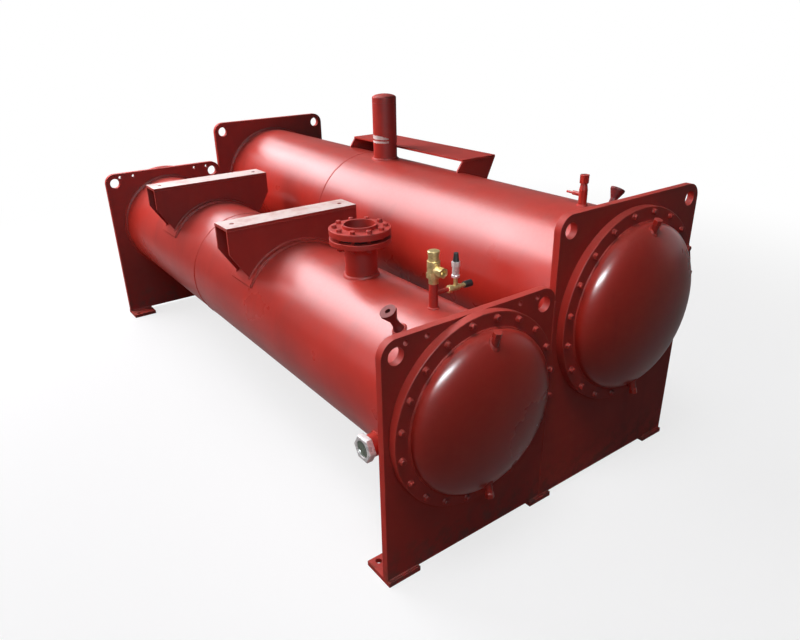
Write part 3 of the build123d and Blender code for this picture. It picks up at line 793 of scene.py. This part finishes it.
def model_arc(centre, radius, leg, low, high, x):
    """Bead along an arc about the X direction, from one angle from the top to another."""
    clear_selection()
    at = (x, centre[0] + radius * math.sin(low), centre[1] + radius * math.cos(low))
    bpy.ops.mesh.primitive_circle_add(vertices=BEAD_SIDES, radius=leg, fill_type="NGON",
                                      location=at, rotation=(math.pi / 2 - low, 0, 0))
    arc = apply_place()
    edit_all()
    bpy.ops.mesh.spin(steps=max(4, int(abs(high - low) * radius / BEAD_STEP)), angle=high - low,
                      center=(x, centre[0], centre[1]), axis=(1, 0, 0))
    bpy.ops.mesh.select_all(action="SELECT")
    bpy.ops.mesh.remove_doubles(threshold=SAME_PLACE)
    bpy.ops.mesh.normals_make_consistent(inside=False)
    clear_selection()
    return arc


def finish_beads(beads, name, leg):
    """Ripple a set of beads of one leg and paint them as one piece."""
    piece = join(beads)
    use_modifier(piece, "DISPLACE", texture=lump_texture(), texture_coords="LOCAL", mid_level=0.5,
                 strength=leg * settings("welds").lump_rise)
    finish(piece, name)


class CONDENSER_OT_shell_welds(bpy.types.Operator):
    """Weld the shells to the end plates and close their girth seams"""
    bl_idname = "condenser.shell_welds"
    bl_label = "Shell welds"

    def execute(self, context):
        welds = settings("welds")
        for shell in SHELLS:
            y, z, radius = shell_of(shell)
            low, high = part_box(shell + "_shell")
            beads = []
            for x in (low.x, high.x):
                ring = model_ring(radius, welds.fillet)
                ring.data.transform(Matrix.Translation((x, y, z)) @ TO_X)
                beads.append(ring)
            seam = model_ring(radius - welds.seam, welds.seam * 2,
                              welds.seam_width / welds.seam / 2)
            place = getattr(welds, shell + "_seam")
            seam.data.transform(Matrix.Translation((place, y, z)) @ TO_X)
            beads.append(seam)
            finish_beads(beads, shell + "_shell_welds", welds.fillet)
        return {"FINISHED"}


class CONDENSER_OT_head_welds(bpy.types.Operator):
    """Weld the dishes to their ring flanges, and the vents and drains to the dishes"""
    bl_idname = "condenser.head_welds"
    bl_label = "Head welds"

    def execute(self, context):
        leg = settings("welds").small
        dish_leg = leg * DISH_LEG
        for end in ENDS:
            beads, tips = [], []
            for shell in SHELLS:
                at = middle(f"{shell}_{end}_head_flange")
                low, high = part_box(f"{shell}_{end}_dish")
                face = low.x if end == "front" else high.x
                ring = model_ring((high.z - low.z) / 2, dish_leg)
                ring.data.transform(Matrix.Translation((face, at.y, at.z)) @ TO_X)
                beads.append(ring)
                for way in (1, -1):
                    tips.append(drop_on_dish(model_ring(VENT_RADIUS, leg), shell, end, way))
            finish_beads(beads, end + "_head_welds", dish_leg * DISH_RIPPLE)
            finish_beads(tips, end + "_vent_welds", leg)
        return {"FINISHED"}


def drop_on_dish(ring, shell, end, way):
    """Lay a ring around the leaning axis of a vent, or of the drain below it, onto a dish."""
    low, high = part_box(f"{shell}_{end}_dish")
    at = middle(f"{shell}_{end}_head_flange")
    radius, bowl = (high.z - low.z) / 2, high.x - low.x - DISH_SKIRT
    face, facing = (low.x, 1) if end == "front" else (high.x, -1)
    out = VENT_REACH - DISH_SKIRT
    foot = Vector((out, 0, radius * math.sqrt(1 - (out / bowl) ** 2)))
    lean = Matrix.Rotation(VENT_LEAN, 3, "Y")
    axis = lean @ Vector((0, 0, 1))
    stretch = Vector((1 / bowl, 1 / radius, 1 / radius))
    for corner in ring.data.vertices:
        start = foot + lean @ Vector((corner.co.x, corner.co.y, 0))
        from_here, along = start * stretch, axis * stretch
        half, size = from_here.dot(along), along.dot(along)
        slide = (math.sqrt(half * half - size * (from_here.dot(from_here) - 1)) - half) / size
        spot = start + axis * (slide + corner.co.z)
        corner.co = (face + facing * (DISH_SKIRT + spot.x), at.y + spot.y, at.z + way * spot.z)
    pick(ring)
    edit_all()
    bpy.ops.mesh.normals_make_consistent(inside=False)
    clear_selection()
    return ring


def drop_on_shell(ring, shell, x):
    """Lay a ring around the vertical onto the top of a shell."""
    y, z, radius = shell_of(shell)
    for corner in ring.data.vertices:
        side = corner.co.y
        corner.co.x += x
        corner.co.y += y
        corner.co.z += z + math.sqrt(radius * radius - side * side)
    return ring


class CONDENSER_OT_branch_welds(bpy.types.Operator):
    """Weld the nozzle, stubs, sockets and sight glass to the shells"""
    bl_idname = "condenser.branch_welds"
    bl_label = "Branch welds"

    def execute(self, context):
        leg = settings("welds").small
        beads = []
        for node, shell in (("discharge_pipe", "condenser"), ("suction_pipe", "evaporator")):
            low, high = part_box(node)
            ring = model_ring((high.x - low.x) / 2, leg * BRANCH_LEG)
            beads.append(drop_on_shell(ring, shell, middle(node).x))
        low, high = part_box("relief_stub")
        ring = model_ring((high.x - low.x) / 2, leg)
        beads.append(drop_on_shell(ring, "condenser", (low.x + high.x) / 2))
        stub_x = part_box("evaporator_stub")[1].x - STUB_HEXAGON
        ring = model_ring(STUB_RADIUS, leg)
        beads.append(drop_on_shell(ring, "evaporator", stub_x))
        for shell, lean in SOCKET_LEAN.items():
            y, z, _ = shell_of(shell)
            ring = drop_on_shell(model_ring(SOCKET_RADIUS, leg), shell, middle(shell + "_socket").x)
            about = Matrix.Translation((0, y, z))
            ring.data.transform(about @ Matrix.Rotation(lean, 4, "X") @ about.inverted())
            beads.append(ring)
        y, z, radius = shell_of("condenser")
        low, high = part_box("sight_glass_stub")
        at = middle("sight_glass_stub")
        ring = model_ring((high.x - low.x) / 2, leg)
        for corner in ring.data.vertices:
            across, up, out = corner.co
            rise = at.z + up
            depth = math.sqrt(radius * radius - (rise - z) ** 2)
            corner.co = (at.x + across, y - depth - out, rise)
        beads.append(ring)
        finish_beads(beads, "branch_welds", leg)
        return {"FINISHED"}


class CONDENSER_OT_saddle_welds(bpy.types.Operator):
    """Weld the pads to the condenser, the webs to the pads and the top plates to the webs"""
    bl_idname = "condenser.saddle_welds"
    bl_label = "Saddle welds"

    def execute(self, context):
        leg = settings("welds").small
        y, z, radius = shell_of("condenser")
        for end in ENDS:
            beads = []
            pad_low, pad_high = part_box(end + "_saddle_pad")
            web_low, web_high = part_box(end + "_saddle_webs")
            pad_radius = pad_high.z - z
            reach = math.asin((pad_high.y - y) / pad_radius)
            tips = reach * PAD_ARC
            for x in (pad_low.x, pad_high.x):
                beads.append(model_arc((y, z), radius + leg * PAD_LEG_LIFT, leg, -reach, reach, x))
            for x in (web_low.x, web_high.x):
                beads.append(model_arc((y, z), pad_radius, leg, -tips, tips, x))
                beads.append(model_line((x, web_low.y + leg, web_high.z),
                                        (x, web_high.y - leg, web_high.z), leg * TOP_PLATE_LEG))
            for side in (-1, 1):
                out, turn = radius + PAD_EDGE_LIFT, side * reach
                spot = (y + out * math.sin(turn), z + out * math.cos(turn))
                beads.append(model_line((pad_low.x, *spot), (pad_high.x, *spot), leg))
            finish_beads(beads, end + "_saddle_welds", leg)
        return {"FINISHED"}


class CONDENSER_OT_plate_welds(bpy.types.Operator):
    """Weld the feet under the end plates and the two end plates to each other"""
    bl_idname = "condenser.plate_welds"
    bl_label = "Plate and foot welds"

    def execute(self, context):
        leg = settings("welds").small
        for end in ENDS:
            plate_low, plate_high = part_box(f"condenser_{end}_plate")
            foot_top = plate_low.z
            seam = plate_high.y
            feet_low, feet_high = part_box(end + "_feet")
            spans = ((feet_low.y, feet_low.y + FOOT_WIDTH),
                     (seam - MIDDLE_FOOT_WIDTH / 2, seam + MIDDLE_FOOT_WIDTH / 2),
                     (feet_high.y - FOOT_WIDTH, feet_high.y))
            beads = []
            for x in (plate_low.x, plate_high.x):
                for start, stop in spans:
                    beads.append(model_line((x, start + leg, foot_top),
                                            (x, stop - leg, foot_top), leg))
                beads.append(model_line((x, seam, foot_top + leg),
                                        (x, seam, plate_high.z - SEAM_STOP), leg * PLATE_SEAM_LEG))
            finish_beads(beads, end + "_plate_welds", leg)
        return {"FINISHED"}


class CONDENSER_OT_bracket_welds(bpy.types.Operator):
    """Weld the shelf of the panel bracket to its two ends"""
    bl_idname = "condenser.bracket_welds"
    bl_label = "Bracket welds"

    def execute(self, context):
        leg = settings("welds").small * BRACKET_LEG
        end_low, end_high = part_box("bracket_ends")
        top_low, top_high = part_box("bracket_top")
        beads = []
        for x in (end_low.x, end_low.x + BRACKET_PLATE, end_high.x - BRACKET_PLATE, end_high.x):
            beads.append(model_line((x, top_low.y + leg, top_low.z),
                                    (x, top_high.y - leg, top_low.z), leg * BRACKET_LEG))
        finish_beads(beads, "bracket_welds", leg)
        return {"FINISHED"}


# Stage

def light_seen(tree):
    """One for rays from the camera, a mirror or through glass, nought for the rest."""
    path = tree.nodes.new("ShaderNodeLightPath").outputs
    seen = math_of(tree, "MAXIMUM", path["Is Camera Ray"], path["Is Glossy Ray"])
    return math_of(tree, "MAXIMUM", seen, path["Is Transmission Ray"])


def mirrored_level(tree):
    """Strength of the white background: full for the camera, softer where the set mirrors it."""
    mirrored = tree.nodes.new("ShaderNodeLightPath").outputs["Is Glossy Ray"]
    return ramp(tree, mirrored, 0.0, 1.0, 1.0, settings("stage").mirrored, "LINEAR")


def mix_shaders(tree, amount, first, second):
    """Mix two shaders."""
    made = tree.nodes.new("ShaderNodeMixShader")
    plug(tree, made.inputs[0], amount)
    tree.links.new(first, made.inputs[1])
    tree.links.new(second, made.inputs[2])
    return made.outputs[0]


def lay_floor(stage):
    """Pale floor that keeps the shadow and turns white in the distance."""
    clear_selection()
    bpy.ops.mesh.primitive_plane_add(size=stage.floor_size, location=(0, 0, 0))
    ground = apply_place()
    ground.name = "floor"
    made = bpy.data.materials.new("pale_floor")
    tree = bare_tree(made)
    place = add(tree, "ShaderNodeTexCoord", out="Object")
    away = add(tree, "ShaderNodeVectorMath", out="Value", shape={"operation": "LENGTH"})
    tree.links.new(place, away.node.inputs[0])
    white = ramp(tree, away, stage.near, stage.far, to_low=stage.near_white)
    shaded = add(tree, "ShaderNodeBsdfDiffuse", Color=stage.floor)
    bare = add(tree, "ShaderNodeEmission", Color=(1, 1, 1), Strength=mirrored_level(tree))
    pale = mix_shaders(tree, white, shaded, bare)
    dim = add(tree, "ShaderNodeBsdfDiffuse", Color=stage.bounce)
    output = tree.nodes.new("ShaderNodeOutputMaterial")
    tree.links.new(mix_shaders(tree, light_seen(tree), dim, pale), output.inputs["Surface"])
    ground.data.materials.append(made)


def set_world(stage):
    """White background with little light of its own."""
    world = bpy.data.worlds.new("studio")
    bpy.context.scene.world = world
    tree = bare_tree(world)
    level = ramp(tree, light_seen(tree), 0.0, 1.0, stage.ambient, 1.0, "LINEAR")
    level = math_of(tree, "MULTIPLY", level, mirrored_level(tree))
    sky = add(tree, "ShaderNodeBackground", Color=(1, 1, 1), Strength=level)
    output = tree.nodes.new("ShaderNodeOutputWorld")
    tree.links.new(sky, output.inputs["Surface"])


def lamp(name, at, target, size, power, tint, spread=180, diffuse=True, glossy=True):
    """Soft rectangular lamp at a place, aimed at a target, of a width and height and a power."""
    light = bpy.data.lights.new(name, "AREA")
    light.shape = "RECTANGLE"
    light.size, light.size_y = size
    light.energy = power
    light.color = tint
    light.spread = math.radians(spread)
    holder = bpy.data.objects.new(name, light)
    bpy.context.scene.collection.objects.link(holder)
    holder.visible_diffuse = diffuse
    holder.visible_glossy = glossy
    holder.location = at
    holder.rotation_euler = (Vector(target) - Vector(at)).to_track_quat("-Z", "Y").to_euler()


def hang_lamps(pale, cool):
    """Two main lamps, two fills that leave no highlight, four lamps for highlights alone."""
    lamp("key_light", (-4.1, -1.8, 4.55), (0.3, 0.0, 0.9), (4.8, 3.2), 460, pale)
    lamp("side_light", (-1.9, -6.0, 2.7), (0.1, 0.0, 0.6), (4.0, 2.0), 138, pale)
    lamp("upper_light", (2.1, -1.4, 4.6), (1.72, -0.1, 0.8), (2.0, 1.4), 11, pale, spread=50,
         glossy=False)
    lamp("low_fill", (3.6, -2.4, 0.7), (1.6, -0.3, 0.55), (1.6, 0.9), 5.5, pale, glossy=False)
    lamp("far_glint", (-6.8, -0.8, 4.2), (0.0, 0.0, 0.9), (5.0, 2.0), 170, cool, diffuse=False)
    lamp("near_glint", (-1.9, -1.0, 4.3), (-1.9, -0.2, 0.9), (2.4, 3.2), 430, cool, diffuse=False)
    lamp("front_glint", (4.3, -2.2, 3.38), (1.65, -0.45, 0.8), (2.2, 0.3), 840, cool,
         diffuse=False)
    lamp("back_glint", (2.5, 6.0, 1.8), (1.7, 0.3, 0.9), (5.0, 2.5), 30, cool, diffuse=False)


def set_camera(stage):
    """Camera turned, dropped and rolled as in the photograph."""
    sensor = bpy.data.cameras.new("camera")
    sensor.lens = stage.lens
    sensor.sensor_width = stage.sensor
    viewer = bpy.data.objects.new("camera", sensor)
    bpy.context.scene.collection.objects.link(viewer)
    turn, drop, roll = stage.camera_turn, stage.camera_drop, stage.camera_roll
    level = math.cos(drop)
    back = Vector((math.sin(turn) * level, -math.cos(turn) * level, math.sin(drop)))
    right = Vector((0, 0, 1)).cross(back).normalized()
    up = back.cross(right)
    side = math.cos(roll) * right + math.sin(roll) * up
    head = math.cos(roll) * up - math.sin(roll) * right
    turned = Matrix((side, head, back)).transposed().to_4x4()
    viewer.matrix_world = Matrix.Translation(stage.camera_at) @ turned
    bpy.context.scene.camera = viewer


class CONDENSER_OT_stage(bpy.types.Operator):
    """Set the floor, the light and the camera"""
    bl_idname = "condenser.stage"
    bl_label = "Stage"

    def execute(self, context):
        stage = settings("stage")
        bpy.context.scene.view_settings.view_transform = "Standard"
        lay_floor(stage)
        set_world(stage)
        hang_lamps(stage.pale_light, stage.cool_light)
        set_camera(stage)
        return {"FINISHED"}


class CONDENSER_PT_panel(bpy.types.Panel):
    """Steps that dress the set"""
    bl_idname = "CONDENSER_PT_panel"
    bl_label = "Condenser set"
    bl_space_type = "VIEW_3D"
    bl_region_type = "UI"
    bl_category = "Condenser"

    def draw(self, context):
        for step in STEPS:
            self.layout.operator(step.bl_idname)
        for name in GROUPS:
            values = settings(name)
            for key in values.__annotations__:
                self.layout.prop(values, key)


GROUPS = {"paint": PaintSettings, "bolts": BoltSettings, "welds": WeldSettings,
          "stage": StageSettings}
STEPS = (
    CONDENSER_OT_finish_solids, CONDENSER_OT_head_bolts, CONDENSER_OT_nozzle_bolts,
    CONDENSER_OT_shell_welds, CONDENSER_OT_head_welds, CONDENSER_OT_branch_welds,
    CONDENSER_OT_saddle_welds, CONDENSER_OT_plate_welds, CONDENSER_OT_bracket_welds,
    CONDENSER_OT_stage,
)


def register():
    """Make the values, steps and panel known."""
    for name, group in GROUPS.items():
        bpy.utils.register_class(group)
        setattr(bpy.types.Scene, "condenser_" + name, bpy.props.PointerProperty(type=group))
    for step in STEPS:
        bpy.utils.register_class(step)
    bpy.utils.register_class(CONDENSER_PT_panel)


def unregister():
    """Forget the values, steps and panel."""
    bpy.utils.unregister_class(CONDENSER_PT_panel)
    for step in reversed(STEPS):
        bpy.utils.unregister_class(step)
    for name, group in GROUPS.items():
        delattr(bpy.types.Scene, "condenser_" + name)
        bpy.utils.unregister_class(group)


def main():
    """Dress the set step by step."""
    register()
    bpy.ops.condenser.finish_solids()
    bpy.ops.condenser.head_bolts()
    bpy.ops.condenser.nozzle_bolts()
    bpy.ops.condenser.shell_welds()
    bpy.ops.condenser.head_welds()
    bpy.ops.condenser.branch_welds()
    bpy.ops.condenser.saddle_welds()
    bpy.ops.condenser.plate_welds()
    bpy.ops.condenser.bracket_welds()
    bpy.ops.condenser.stage()


if __name__ == "__main__":
    main()
